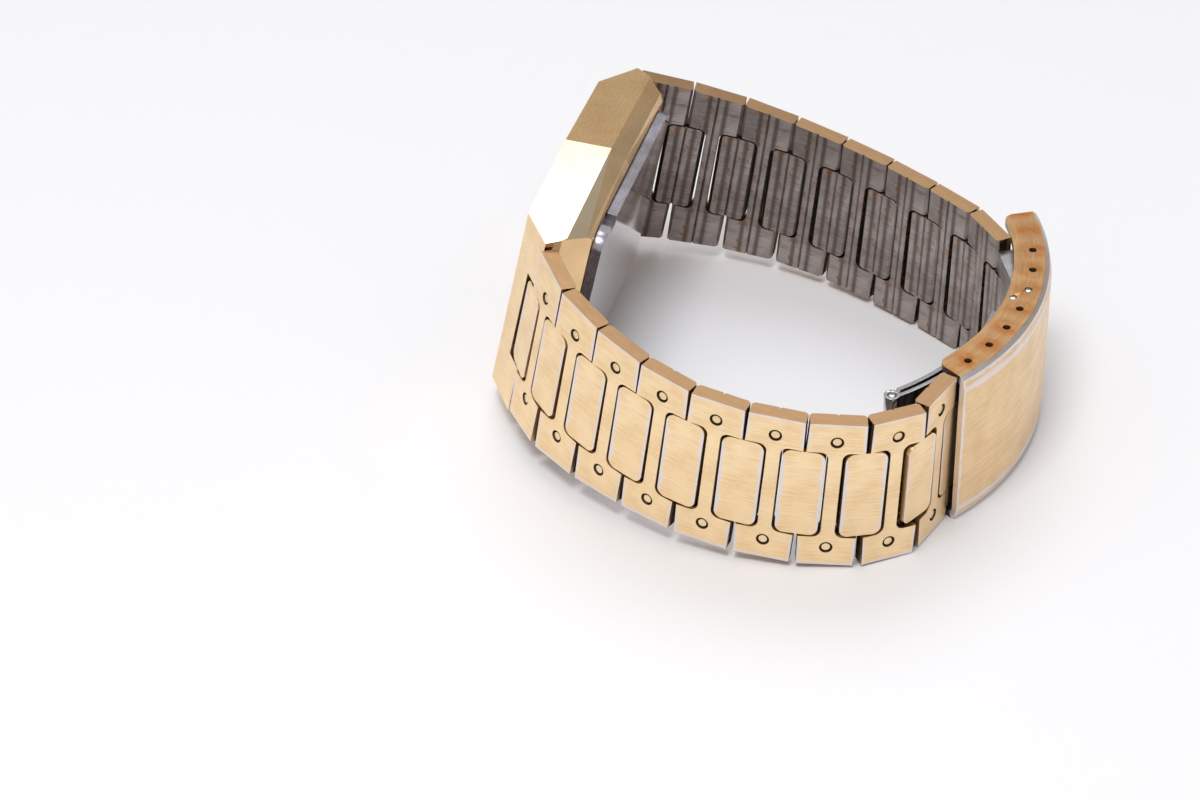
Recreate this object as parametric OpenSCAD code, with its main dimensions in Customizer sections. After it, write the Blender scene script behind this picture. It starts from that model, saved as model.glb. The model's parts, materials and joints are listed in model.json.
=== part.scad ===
// Rectangular wristwatch with an H-link bracelet and a fold-over clasp.
// It lies on its side: the crown and one side wall of the clasp touch the ground.
// Every piece has a local frame: X runs along the strap, Y points into the loop,
// Z runs across the strap. The strap is a chain of hinge pins, worked out from the
// case outwards, and the two halves of it meet inside the clasp.

/* [Case] */
// Length of the flat front of the case, between its two sloping ends
front_length = 27; // [25:0.5:32]
// Width of the case front at mid length, where the sides come to a crease
front_width = 24.4; // [23.5:0.1:28]
// How much the sides close in from the crease towards the ends, on each side
side_inset = 1.1; // [0.6:0.1:1.6]
// How far each side leans out from the front down to its widest line
side_flare = 0.8; // [0.4:0.1:1.4]
// Run of each sloping end along the case
slope_run = 4.5; // [3.8:0.1:5.5]
// Angle of each sloping end below the front
slope_angle = 36; // [30:1:40]
// Height of the case from its front to the back's seat
case_height = 7.4; // [7.2:0.1:9]
// Depth from the front down to the widest line of the sides
widest_depth = 5.1; // [4:0.1:5.6]
// Length of the chamber for the movement
chamber_length = 24.4; // [22:0.2:26]
// Width of the chamber for the movement
chamber_width = 20.4; // [18:0.2:21]
// Length of the window over the dial
window_length = 20; // [16:0.5:21]
// Width of the window over the dial
window_width = 17; // [14:0.5:18]
// Thickness of the crystal
crystal_thickness = 1.1; // [0.8:0.1:1.3]
// Thickness of the case back
back_thickness = 1.2; // [1:0.1:1.6]

/* [Dial and movement] */
// Thickness of the dial
dial_thickness = 0.4; // [0.3:0.05:0.6]
// Length of the hour hand
hour_hand_length = 5; // [4:0.2:6]
// Length of the minute hand
minute_hand_length = 7.2; // [6:0.2:8]
// Length of the second hand
second_hand_length = 7.4; // [6:0.2:8]
// Thickness of the movement
movement_thickness = 3.2; // [2.6:0.1:3.4]
// Diameter of the battery
battery_diameter = 6.8; // [5.8:0.1:7.9]
// Diameter of the crown
crown_diameter = 3.4; // [2.8:0.1:4]
// How far the crown stands out of the side
crown_height = 0.5; // [0.3:0.05:0.8]
// Travel of the crown when it is pulled
crown_travel = 1; // [0.5:0.1:1.2]

/* [Bracelet] */
// Distance from one link to the next along the strap
pitch = 6.3; // [6:0.05:6.8]
// Distance between the two pins of a centre plate
pin_distance = 3; // [2.8:0.05:3.2]
// Thickness of the links
link_thickness = 1.8; // [1.6:0.05:2]
// Width of the strap where it leaves the case
strap_width_case = 22.4; // [21:0.1:22.8]
// Number of pitches over which the strap narrows
taper_pitches = 4; // [3:1:6]
// Width of a link's waist, between two centre plates
waist = 1.45; // [1.2:0.05:1.6]
// Gap between neighbouring pieces of the strap
gap = 0.2; // [0.15:0.01:0.25]
// Length of a centre plate across the strap
plate_height = 10.8; // [9.6:0.1:11]
// Radius of the link pins
pin_radius = 0.4; // [0.3:0.02:0.45]
// Radial clearance of the link pins
pin_play = 0.14; // [0.12:0.01:0.16]
// Distance between the two rivet holes of a link
rivet_spacing = 13.8; // [13:0.1:14.4]

/* [Clasp] */
// Outer radius of the curved clasp cover
cover_radius = 31.6; // [30:0.1:34]
// Width of the clasp cover
cover_width = 18.6; // [17.8:0.1:20.2]
// How far the cover stands out past each edge of the strap
cover_margin = 0.1; // [0.05:0.05:0.3]
// Depth of the cover's side walls
cover_depth = 4.1; // [3.8:0.1:4.6]
// Sheet thickness of the cover
cover_sheet = 0.7; // [0.5:0.05:0.8]
// Angle between two adjustment holes, seen from the cover's centre
hole_step = 7.2; // [6.8:0.1:7.4]
// Sheet thickness of the folding blades
blade_sheet = 0.5; // [0.4:0.05:0.6]
// Width of the folding blades
blade_width = 14; // [12:0.2:15]

/* [Resting pose] */
// Direction of the case, from its far end to its near end
case_heading = -106; // [-110:1:-102]
// Lean of the case into the loop
case_lean = 11; // [9:0.5:12]

/* [Hidden] */
$fn = 40;
eps = 0.01;

gold = [0.84, 0.69, 0.36];
pale_gold = [0.88, 0.76, 0.48];
steel = [0.62, 0.61, 0.60];
dark = [0.2, 0.18, 0.16];
half_link = link_thickness / 2;

// Bends of the strap at its pins, in degrees, from the case to the clasp.
// Positive bends close the loop.
near_bends = [-5, 8, 7, 9, 3.5, 5, 2.5, 5, 4.5, 7.5, 6, 4, 5.5, 7, 12, 11.5, 25, 9.5, 1, -6.5];
far_bends = [13, 27, 4.5, 4, 4.5, 4.5, 5, 4.5, 4.5, 3.5, 3, 2.5, 1.5, 3, 6.5, 9.5, 5, 12.5];
// Angle between the far connector and the cover at the spring bar
cover_bend = 25.5;
// Direction in which the case leans
lean_heading = -15;
// Middle of the part, seen from above, which becomes the origin
part_middle = [18.4, 0.3];
// Middle of the case before that shift
case_middle = [-2, 11.3];
// The lean of the case fades along each half of the strap by these powers
near_lean_power = 1.05;
far_lean_power = 1.2;

// Vector v of a piece's own frame, turned to heading h and leaning by lean
function turned(v, h, lean) =
  let (
    a = h - lean_heading,
    x = v[0] * cos(a) - v[1] * sin(a),
    y = v[0] * sin(a) + v[1] * cos(a),
    xl = x * cos(lean) + v[2] * sin(lean),
    zl = -x * sin(lean) + v[2] * cos(lean)
  )
  [xl * cos(lean_heading) - y * sin(lean_heading),
   xl * sin(lean_heading) + y * cos(lean_heading), zl];

module placed(p, h, lean) {
  translate(p)
    rotate([0, 0, lean_heading])
      rotate([0, lean, 0])
        rotate([0, 0, h - lean_heading])
          children();
}

// The case stands on the rim of its crown
crown_tip = front_width / 2 + side_flare + crown_height;
case_floor = crown_tip * cos(case_lean) + crown_diameter / 2 * sin(case_lean);
case_place = [case_middle[0] - part_middle[0], case_middle[1] - part_middle[1], case_floor];

// Heights in the case, measured along Y from the middle plane towards the back
front_y = -4.2;
seat_y = front_y + case_height;
widest_y = front_y + widest_depth;
slope_x = front_length / 2 + slope_run;
slope_y = front_y + slope_run * tan(slope_angle);
// A tab reaches this far past its pin
tab_reach = (pin_distance - gap) / 2;
// A plate reaches this far past its pin
plate_length = pitch - waist - 2 * gap;
plate_reach = (plate_length - pin_distance) / 2;
// Pin that joins the strap to a sloping end, in the case's frame, set out a little so that
// the first link clears the case as it swings
root_play = 0.1;
root_reach = tab_reach - root_play;
root_x = slope_x - root_reach * cos(slope_angle) - half_link * sin(slope_angle);
root_y = slope_y - root_reach * sin(slope_angle) + half_link * cos(slope_angle);

// Pieces of a half strap are counted from the case: plates are even, links are odd
function piece_length(k) = k % 2 == 0 ? pin_distance : pitch - pin_distance;
function total(list, n) = n < 0 ? 0 : list[n] + total(list, n - 1);
function lean_at(k, n, power) = case_lean * pow(1 - (k + 1) / n, power);

function near_lean(k) = lean_at(k, len(near_bends), near_lean_power);
function far_lean(k) = lean_at(k, len(far_bends), far_lean_power);
function near_heading(k, extra) = case_heading + slope_angle + total(near_bends, k) + extra * (k + 1);
function far_heading(k, extra) =
  case_heading + 360 - slope_angle - total(far_bends, k) - extra * (k + 1);

connector_length = 3;
far_connector_length = 8;
function near_length(k) = k == len(near_bends) - 1 ? connector_length : piece_length(k);
function far_length(k) = k == len(far_bends) - 1 ? far_connector_length : piece_length(k);

near_start = case_place + turned([root_x, root_y, 0], case_heading, case_lean);
far_start = case_place + turned([-root_x, root_y, 0], case_heading, case_lean);
// Middles of the pins of a half, when each piece also sits a little to one side on its pins
function near_pins(extra, side, k = 0, p = near_start) =
  k == len(near_bends) ? [p] : concat([p], near_pins(extra, side, k + 1,
    p + turned([near_length(k), 0, side], near_heading(k, extra), near_lean(k))));
function far_pins(extra, side, k = 0, p = far_start) =
  k == len(far_bends) ? [p] : concat([p], far_pins(extra, side, k + 1,
    p + turned([-far_length(k), 0, side], far_heading(k, extra), far_lean(k))));
// The side step of each piece that ends a half level with the middle of the cover
function level_step(pins, leans) =
  (cover_width / 2 - pins[len(leans)][2]) / total([for (a = leans) cos(a)], len(leans) - 1);
near_leans = [for (k = [0 : len(near_bends) - 1]) near_lean(k)];
far_leans = [for (k = [0 : len(far_bends) - 1]) far_lean(k)];
function near_half(extra) = near_pins(extra, level_step(near_pins(extra, 0), near_leans));
function far_half(extra) = far_pins(extra, level_step(far_pins(extra, 0), far_leans));

// The cover's frame has its origin at the centre of its curve, with X through hole 5
hole_radius = cover_radius - cover_depth / 2;
// The near half ends inside the cover, at this angle and this much further in than the holes
end_pin_angle = -26;
end_pin_drop = 0.7;
end_pin_radius = hole_radius - end_pin_drop;
function cover_heading(extra) = far_heading(len(far_bends) - 1, extra) - 90 - cover_bend;
function cover_middle(extra) =
  let (p = far_half(extra)[len(far_bends)], a = cover_heading(extra))
  [p[0] - hole_radius * cos(a), p[1] - hole_radius * sin(a), cover_width / 2];
// Distance, seen from above, by which the near half misses its pin inside the cover
function miss(e) =
  let (
    p = near_half(e[0])[len(near_bends)],
    c = cover_middle(e[1]),
    a = cover_heading(e[1]) + end_pin_angle
  )
  [p[0] - c[0] - end_pin_radius * cos(a), p[1] - c[1] - end_pin_radius * sin(a)];
// One step towards the two extra bends per pin that bring the halves together
function closer(e) =
  let (
    d = 0.01,
    m = miss(e),
    u = (miss([e[0] + d, e[1]]) - m) / d,
    v = (miss([e[0], e[1] + d]) - m) / d,
    det = u[0] * v[1] - u[1] * v[0]
  )
  [e[0] - (m[0] * v[1] - m[1] * v[0]) / det, e[1] - (u[0] * m[1] - u[1] * m[0]) / det];
extra_bends = closer(closer(closer(closer([0, 0]))));
near = near_half(extra_bends[0]);
far = far_half(extra_bends[1]);
cover_turn = cover_heading(extra_bends[1]);
cover_centre = cover_middle(extra_bends[1]);

module on_case() placed(case_place, case_heading, case_lean) children();
module on_near(k)
  placed((near[k] + near[k + 1]) / 2, near_heading(k, extra_bends[0]), near_lean(k)) children();
module on_far(k)
  placed((far[k] + far[k + 1]) / 2, far_heading(k, extra_bends[1]), far_lean(k)) children();
module on_clasp() translate(cover_centre) rotate([0, 0, cover_turn]) children();

// Outline in X and Z, given its thickness along Y
module across(y0, y1) translate([0, y1, 0]) rotate([90, 0, 0]) linear_extrude(y1 - y0) children();
module rounded(l, w, r) {
  square([l - 2 * r, w], center = true);
  square([l, w - 2 * r], center = true);
  for (x = [-1, 1], y = [-1, 1]) translate([x * (l / 2 - r), y * (w / 2 - r)]) circle(r);
}
module fillet(r) difference() { square(r); translate([r, r]) circle(r); }

// Strap

// Width of the strap at the clasp
strap_width = cover_width - 2 * cover_margin;
// Half width of the strap at a distance from the case, counted in pitches
function half_strap(s) =
  (strap_width_case + (strap_width - strap_width_case) * min(1, s / taper_pitches)) / 2;
tab_gap = 0.15;
tab_inner = plate_height / 2 + tab_gap;
hole_depth = 1.9;
bore_length = plate_height + 2 * hole_depth + 0.4;
link_half = (pitch - gap) / 2;
waist_fillet = 0.9;
tab_relief = 0.1;
inner_chamfer = 0.4;
rivet_hole = 0.7;
rivet_dot = 0.45;
rivet_sink = 0.5;
rivet_drop = 0.12;

// Half width and depth of the seam inside a piece, where the edges of its folded sheet meet
seam = [0.15, 0.22];

// Side outline of a link or plate, with its inner edges cut back to let it bend
module strap_side(half) linear_extrude(2 * strap_width_case, center = true) polygon([
  [-half, -half_link], [half, -half_link],
  [half, half_link - inner_chamfer], [half - inner_chamfer, half_link],
  [seam[0], half_link], [0, half_link - seam[1]], [-seam[0], half_link],
  [-half + inner_chamfer, half_link], [-half, half_link - inner_chamfer]
]);

// H-shaped link: a waist between two tabs, at place s along the strap. The tabs' ends
// are relieved towards the strap's edge, so that neighbours can twist a little.
// The strap narrows along +X for narrowing = 1 and along -X for narrowing = -1.
module link(s, narrowing) {
  low_x = half_strap(s - narrowing * 0.5);
  high_x = half_strap(s + narrowing * 0.5);
  difference() {
    intersection() {
      across(-half_link, half_link) {
        square([waist, 2 * tab_inner + 1], center = true);
        for (m = [0, 1]) mirror([0, m]) {
          polygon([[-link_half, tab_inner], [link_half, tab_inner],
                   [link_half - tab_relief, high_x], [-link_half + tab_relief, low_x]]);
          for (n = [0, 1]) mirror([n, 0])
            translate([waist / 2, tab_inner]) mirror([0, 1]) fillet(waist_fillet);
        }
      }
      strap_side(link_half);
    }
    for (m = [0, 1]) mirror([0, 0, m]) {
      for (x = [-1, 1]) translate([x * (pitch - pin_distance) / 2, 0, tab_inner - waist_fillet])
        cylinder(r = pin_radius + pin_play, h = waist_fillet + hole_depth + 0.2);
      translate([0, -half_link - eps, rivet_spacing / 2]) rotate([-90, 0, 0]) difference() {
        cylinder(r = rivet_hole, h = rivet_sink);
        translate([0, 0, rivet_drop]) cylinder(r = rivet_dot, h = rivet_sink);
      }
    }
  }
}

plate_corner = 1;
// Centre plate with the pins that join it to its neighbours, at the ends that are listed
module plate(height, ends) {
  intersection() {
    across(-half_link, half_link) rounded(plate_length, height, plate_corner);
    strap_side(plate_length / 2);
  }
  for (x = ends) translate([x * pin_distance / 2, 0, 0])
    cylinder(r = pin_radius, h = plate_height + 2 * hole_depth, center = true);
}
// The loop is opened at one plate of the near half. It has no pins at its first end, and has some
// room across the strap on each side, so that the link before it can slide off it.
open_plate = 8;
open_room = 0.3;

module near_link(i) color(gold) on_near(2 * i - 1) link(i, 1);
module near_plate(i) color(pale_gold) on_near(2 * i)
  if (i == open_plate) plate(plate_height - 2 * open_room, [1]); else plate(plate_height, [-1, 1]);
module far_link(i) color(gold) on_far(2 * i - 1) link(i, -1);
module far_plate(i) color(pale_gold) on_far(2 * i) plate(plate_height, [-1, 1]);

// Case

// Half width of the case side at a place along the case and at a height
function side_z(x, y) =
  front_width / 2 + side_flare * (y - front_y) / widest_depth - side_inset * x / slope_x;
module ring_at(y, end, crease, corner) across(y - eps, y)
  polygon([[end, corner], [0, crease], [-end, corner], [-end, -corner], [0, -crease], [end, -corner]]);
// End of the case under the slope: square to it for a tab's thickness, then drawn in
under_x = slope_x - link_thickness * sin(slope_angle);
under_y = slope_y + link_thickness * cos(slope_angle);
back_x = chamber_length / 2 + 1.9;
back_z = chamber_width / 2 + 0.9;
notch_half = tab_inner + 0.05;
notch_back = 1.3;
notch_top = 1.4;
window_corner = 2;
crystal_rim = 0.9;
crystal_play = 0.05;
dial_y = front_y + 2;
stem_radius = 0.6;
stem_play = 0.06;
crystal_dome = 0.15;
crown_room = 0.3;
crown_recess = 1.6;
crown_seat = front_width / 2 + side_flare - crown_recess;

module case_solid() hull() {
  ring_at(front_y + eps, front_length / 2, side_z(0, front_y), side_z(front_length / 2, front_y));
  ring_at(slope_y, slope_x, side_z(0, slope_y), side_z(slope_x, slope_y));
  ring_at(under_y, under_x, side_z(0, under_y), side_z(under_x, under_y));
  ring_at(widest_y, under_x - 0.6, side_z(0, widest_y), side_z(under_x, widest_y));
  ring_at(seat_y - 0.5, back_x + 0.6, back_z + 1.2, back_z + 0.5);
  ring_at(seat_y, back_x, back_z + 0.5, back_z);
}

// Space for the first centre plate, its pins and the underside of the strap
module strap_notch() translate([root_x, root_y, 0]) rotate([0, 0, slope_angle]) {
  translate([-notch_back, -2 * link_thickness, -notch_half])
    cube([notch_back + slope_run, 2 * link_thickness + notch_top, 2 * notch_half]);
  cylinder(r = pin_radius + pin_play, h = bore_length, center = true);
}

module case_shell() color(gold) on_case() difference() {
  case_solid();
  across(dial_y, seat_y + 1) rounded(chamber_length, chamber_width, window_corner);
  across(front_y - 1, dial_y + 1) rounded(window_length, window_width, window_corner);
  across(front_y - 1, front_y + crystal_thickness)
    rounded(window_length + 2 * crystal_rim, window_width + 2 * crystal_rim, window_corner);
  strap_notch();
  mirror([1, 0, 0]) strap_notch();
  translate([0, 0, -crown_tip - 1])
    cylinder(r = stem_radius + stem_play, h = crown_tip - chamber_width / 2 + 3);
  translate([0, 0, -crown_tip - 1])
    cylinder(r = crown_diameter / 2 + crown_room, h = crown_tip + 1 - crown_seat);
}

module crystal() color([0.8, 0.85, 0.88, 0.4]) on_case()
  across(front_y - crystal_dome, front_y + crystal_thickness - crystal_play) rounded(
    window_length + 2 * (crystal_rim - crystal_play),
    window_width + 2 * (crystal_rim - crystal_play), window_corner - crystal_play);

// Case back with its inner step, and a notch for the tool that opens it
back_step = 0.9;
back_play = 0.05;
back_notch = [2.2, 1];
back_notch_x = 8.5;
step_play = 0.1;
module case_back() color(steel) on_case() difference() {
  union() {
    across(seat_y + back_play, seat_y + back_thickness)
      rounded(2 * back_x - 0.6, 2 * back_z - 0.4, window_corner);
    across(seat_y - back_step, seat_y + back_play + eps)
      rounded(chamber_length - 2 * step_play, chamber_width - 2 * step_play, window_corner - step_play);
  }
  translate([back_notch_x, seat_y, back_z - 0.2 - back_notch[1]])
    cube([back_notch[0], back_thickness + 1, back_notch[1] + 1]);
}

gasket_width = 0.7;
gasket_y = seat_y - back_step;
gasket_thickness = 0.4;
module back_gasket() color("black") on_case()
  across(gasket_y - gasket_thickness, gasket_y - eps) difference() {
    rounded(chamber_length - 0.3, chamber_width - 0.3, window_corner - 0.15);
    rounded(chamber_length - 0.3 - 2 * gasket_width, chamber_width - 0.3 - 2 * gasket_width, 1.2);
  }

// Dial and hands

hour_tube = 0.95;
minute_tube = 0.5;
second_pin = 0.22;
hand_play = 0.06;
hand_tail = 1.6;
hand_shoulder = 0.7;
dial_back = dial_y + dial_thickness;
module along_y(y0, y1, r) translate([0, y0, 0]) rotate([-90, 0, 0]) cylinder(r = r, h = y1 - y0);

module dial() color([0.93, 0.9, 0.82]) on_case() difference() {
  across(dial_y + eps, dial_back) rounded(chamber_length - 0.2, chamber_width - 0.2, window_corner);
  along_y(dial_y - 1, dial_back + 1, hour_tube + 0.1);
}

marker_height = 0.12;
marker_size = [0.5, 1.6];
marker_edge = 0.9;
// Twelve bars on a rectangle inside the window, one for each hour
module hour_markers() color(gold) on_case() for (h = [0 : 11]) {
  a = h * 30;
  half = [window_length / 2 - marker_edge - marker_size[1] / 2,
          window_width / 2 - marker_edge - marker_size[1] / 2];
  reach = min(half[0] / max(abs(cos(a)), 0.01), half[1] / max(abs(sin(a)), 0.01));
  across(dial_y - marker_height, dial_y)
    translate([reach * cos(a), reach * sin(a)]) rotate(a)
      square([marker_size[1], marker_size[0]], center = true);
}

// A hand: a tapering bar with a boss, turned to show about ten past ten
module hand(length, width, y0, thickness, boss, angle) rotate([0, -angle, 0])
  across(y0, y0 + thickness) {
    circle(boss);
    polygon([[-hand_tail, -width / 2], [length * hand_shoulder, -width / 2], [length, 0],
             [length * hand_shoulder, width / 2], [-hand_tail, width / 2]]);
  }
hour_y = dial_y - 0.45;
minute_y = dial_y - 0.7;
second_y = dial_y - 0.9;
hand_sheet = 0.14;
tube_end = dial_back + 0.9;
module hour_hand() color(dark) on_case() difference() {
  union() {
    hand(hour_hand_length, 0.8, hour_y, hand_sheet, hour_tube + 0.05, 305);
    along_y(hour_y, tube_end, hour_tube);
  }
  along_y(hour_y - 1, tube_end + 1, minute_tube + hand_play);
}
module minute_hand() color(dark) on_case() difference() {
  union() {
    hand(minute_hand_length, 0.6, minute_y, hand_sheet, hour_tube - 0.15, 60);
    along_y(minute_y, tube_end + 0.3, minute_tube);
  }
  along_y(minute_y - 1, tube_end + 2, second_pin + hand_play);
}
module second_hand() color(dark) on_case() union() {
  hand(second_hand_length, 0.22, second_y, hand_sheet, minute_tube, 200);
  along_y(second_y, tube_end + 0.5, second_pin);
}

// Movement

movement_size = [17.4, 15];
stem_inner = 5;
movement_y0 = dial_back + 0.02;
movement_y1 = movement_y0 + movement_thickness;
battery_place = [-4.6, 3];
battery_depth = 2.2;
battery_play = 0.1;
coil_x = 6;
coil_size = [9, 2];
coil_radius = 0.75;
coil_end = [1.6, 0.5];
coil_play = 0.2;
coil_depth = 1.8;
module battery_pocket(r) translate([battery_place[0], 0, battery_place[1]])
  along_y(movement_y1 - battery_depth, movement_y1 + 1, r);
module movement_plate() color([0.75, 0.6, 0.35]) on_case() difference() {
  across(movement_y0, movement_y1) rounded(movement_size[0], movement_size[1], 1.5);
  along_y(movement_y0 - 1, tube_end + 1, hour_tube + 0.1);
  battery_pocket(battery_diameter / 2 + battery_play);
  translate([coil_x - coil_size[1] / 2 - coil_play, movement_y1 - coil_depth, -coil_size[0] / 2 - coil_play])
    cube([coil_size[1] + 2 * coil_play, coil_depth + 1, coil_size[0] + 2 * coil_play]);
  translate([0, 0, -movement_size[1]])
    cylinder(r = stem_radius + stem_play, h = movement_size[1] - stem_inner + 1);
}
module movement_ring() color([0.9, 0.9, 0.88]) on_case() difference() {
  across(movement_y0, movement_y1)
    rounded(chamber_length - 0.2, chamber_width - 0.2, window_corner - 0.1);
  across(movement_y0 - 1, movement_y1 + 1)
    rounded(movement_size[0] + 0.1, movement_size[1] + 0.1, 1.55);
  translate([0, 0, -chamber_width]) cylinder(r = stem_radius + stem_play, h = chamber_width);
}
module battery() color("silver") on_case()
  translate([battery_place[0], 0, battery_place[1]])
    along_y(movement_y1 - battery_depth + battery_play, movement_y1, battery_diameter / 2);
module coil() color([0.7, 0.35, 0.15]) on_case()
  translate([coil_x, movement_y1 - coil_end[0] / 2 - eps, 0]) {
    cylinder(r = coil_radius, h = coil_size[0] - 2 * coil_end[1], center = true);
    for (m = [0, 1]) mirror([0, 0, m])
      translate([-coil_end[0] / 2, -coil_end[0] / 2, coil_size[0] / 2 - coil_end[1]])
        cube([coil_end[0], coil_end[0], coil_end[1]]);
  }

crown_teeth = 24;
crown_groove = 0.16;
stem_seat = crown_seat + 0.6;
module crown() color(gold) on_case() difference() {
  translate([0, 0, -crown_tip]) cylinder(r = crown_diameter / 2, h = crown_tip - crown_seat - 0.1);
  translate([0, 0, -stem_seat - stem_play]) cylinder(r = stem_radius + stem_play, h = 2);
  for (i = [0 : crown_teeth - 1]) rotate([0, 0, i * 360 / crown_teeth])
    translate([crown_diameter / 2 + crown_groove / 2, 0, -crown_tip - 1])
      cylinder(r = crown_groove, h = crown_tip - crown_seat + 2, $fn = 16);
}
module crown_stem() color(steel) on_case()
  translate([0, 0, -stem_seat]) cylinder(r = stem_radius, h = stem_seat - stem_inner);

// Clasp, in a frame with its origin at the centre of the cover's curve

cover_inner = cover_radius - cover_depth;
mouth_angle = -33.8;
far_angle = 28.2;
hole_count = 7;
bar_hole = 4;
adjust_hole = 0.42;
eye_radius = 1;
hinge_pin = 0.4;
hinge_play = 0.08;
// A pressed pin is this much thinner than its bore, and ends this far inside the outer faces
press_fit = 0.01;
end_inset = 0.05;
inner_half = cover_width / 2 - cover_sheet;
cover_pin_angle = -hole_step / 2;
cover_pin_inset = 0.8;
cover_pin_radius = cover_inner + cover_pin_inset;
knuckle_angle = -45;
blade_gap = 0.35;
blade_drop = 1.8;
outer_blade_radius = end_pin_radius - blade_drop;
inner_blade_radius = outer_blade_radius - blade_sheet - blade_gap;
knuckle_radius = outer_blade_radius - blade_gap / 2;

// Sector of a ring from angle a0 to a1
module sector(r0, r1, a0, a1, h) rotate([0, 0, a0]) rotate_extrude(angle = a1 - a0, $fn = 180)
  translate([r0, -h / 2]) square([r1 - r0, h]);
module at_polar(a, r) rotate([0, 0, a]) translate([r, 0, 0]) children();
module cross_bar(a, r, radius, h) at_polar(a, r) cylinder(r = radius, h = h, center = true);

// The sheet rolls over at its sides: depth below the outer face, and distance from the side
cover_roll = [[0.7, 0], [0.25, 0.35], [0, 1.4]];
bend_inside = 0.45;
shell_inner = cover_radius - cover_sheet;
// Upper half of the section, outside and inside; the lower half is its mirror image
outside = concat(
  [[cover_inner, cover_width / 2]],
  [for (c = cover_roll) [cover_radius - c[0], cover_width / 2 - c[1]]]
);
inside = [[shell_inner, inner_half - bend_inside], [shell_inner - bend_inside, inner_half],
          [cover_inner, inner_half]];
function flipped(list) = [for (i = [len(list) - 1 : -1 : 0]) [list[i][0], -list[i][1]]];
module cover_section() polygon(concat(outside, flipped(outside), flipped(inside), inside));
// Cuts a round corner of radius r from material that starts at the origin
module corner_cut(r) difference() {
  translate([-r, -r]) square(2 * r);
  translate([r, r]) circle(r);
}
wall_corner = 1.2;
module clasp_cover() color(gold) on_clasp() difference() {
  rotate([0, 0, mouth_angle]) rotate_extrude(angle = far_angle - mouth_angle, $fn = 180) cover_section();
  for (i = [0 : hole_count - 1])
    cross_bar((i - bar_hole) * hole_step, hole_radius, adjust_hole, cover_width + 2);
  cross_bar(cover_pin_angle, cover_pin_radius, hinge_pin, cover_width + 2);
  at_polar(mouth_angle, cover_inner)
    linear_extrude(cover_width + 2, center = true) corner_cut(wall_corner);
  at_polar(far_angle, cover_inner)
    linear_extrude(cover_width + 2, center = true) mirror([0, 1]) corner_cut(wall_corner);
}
bar_sleeve = 0.6;
bar_play = 0.04;
module clasp_spring_bar() color(steel) on_clasp() {
  cross_bar(0, hole_radius, adjust_hole - bar_play, cover_width - 2 * end_inset);
  cross_bar(0, hole_radius, bar_sleeve, 2 * inner_half - bar_sleeve);
}
module cover_pin() color(steel) on_clasp()
  cross_bar(cover_pin_angle, cover_pin_radius, hinge_pin - press_fit, cover_width - 2 * end_inset);

// Inner blade: hinged to the cover, and to the outer blade at the knuckle
knuckle_eye = 0.85;
middle_eye = 4;
eye_relief = 0.35;
// The web that joins the inner blade's sheet to its eye at the cover pin: it starts in the
// middle of the sheet, and runs between these two angles before the pin
blade_web = [1.6, 0.3];
module blade_eye(a, r, h) cross_bar(a, r, knuckle_eye, h);
module inner_blade() color(steel) on_clasp() difference() {
  union() {
    sector(inner_blade_radius, inner_blade_radius + blade_sheet,
           knuckle_angle, cover_pin_angle, blade_width);
    blade_eye(cover_pin_angle, cover_pin_radius, blade_width);
    sector(inner_blade_radius + blade_sheet / 2, cover_pin_radius,
           cover_pin_angle - blade_web[0], cover_pin_angle - blade_web[1], blade_width);
    blade_eye(knuckle_angle, knuckle_radius, middle_eye * 2);
  }
  cross_bar(cover_pin_angle, cover_pin_radius, hinge_pin + hinge_play, blade_width + 2);
  cross_bar(knuckle_angle, knuckle_radius, hinge_pin, blade_width + 2);
  for (m = [0, 1]) mirror([0, 0, m]) translate([0, 0, middle_eye])
    at_polar(knuckle_angle, knuckle_radius) cylinder(r = knuckle_eye + eye_relief, h = blade_width);
}
module knuckle_pin() color(steel) on_clasp()
  cross_bar(knuckle_angle, knuckle_radius, hinge_pin - press_fit, blade_width - 2 * end_inset);

// Outer blade: from the knuckle back to the end of the near half of the strap
lug_inner = 3.2;
lug_outer = 4.8;
lug_half_angle = 1.8;
blade_end_angle = end_pin_angle - 1;
middle_eye_play = 0.15;
module outer_blade() color(steel) on_clasp() difference() {
  union() {
    sector(outer_blade_radius, outer_blade_radius + blade_sheet,
           knuckle_angle, blade_end_angle, blade_width);
    blade_eye(knuckle_angle, knuckle_radius, blade_width);
    for (m = [0, 1]) mirror([0, 0, m]) translate([0, 0, (lug_inner + lug_outer) / 2]) {
      at_polar(end_pin_angle, end_pin_radius)
        cylinder(r = eye_radius, h = lug_outer - lug_inner, center = true);
      sector(outer_blade_radius + blade_sheet / 2, end_pin_radius, end_pin_angle - lug_half_angle,
             end_pin_angle + lug_half_angle, lug_outer - lug_inner);
    }
  }
  cross_bar(knuckle_angle, knuckle_radius, hinge_pin + hinge_play, blade_width + 2);
  cross_bar(end_pin_angle, end_pin_radius, hinge_pin + hinge_play, blade_width + 2);
  at_polar(knuckle_angle, knuckle_radius)
    cylinder(r = knuckle_eye + eye_relief, h = 2 * (middle_eye + middle_eye_play), center = true);
}

// Connectors: the last piece of each half of the strap
connector_play = 0.6;
connector_half = inner_half - connector_play;
// The connectors' tabs are this much shorter than a link's, and overlap the plate behind by this
tab_short = 0.1;
tab_overlap = 0.3;
// Half size of the slots in which the lugs of the outer blade turn, and the play at their sides
slot_half = eye_radius + 0.5;
lug_play = 0.25;
module tab_block(x0, x1) for (m = [0, 1]) mirror([0, 0, m])
  translate([x0, -half_link, tab_inner]) cube([x1 - x0, link_thickness, connector_half - tab_inner]);
module tab_holes(x) translate([x, 0, 0])
  cylinder(r = pin_radius + pin_play, h = bore_length, center = true);

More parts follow.
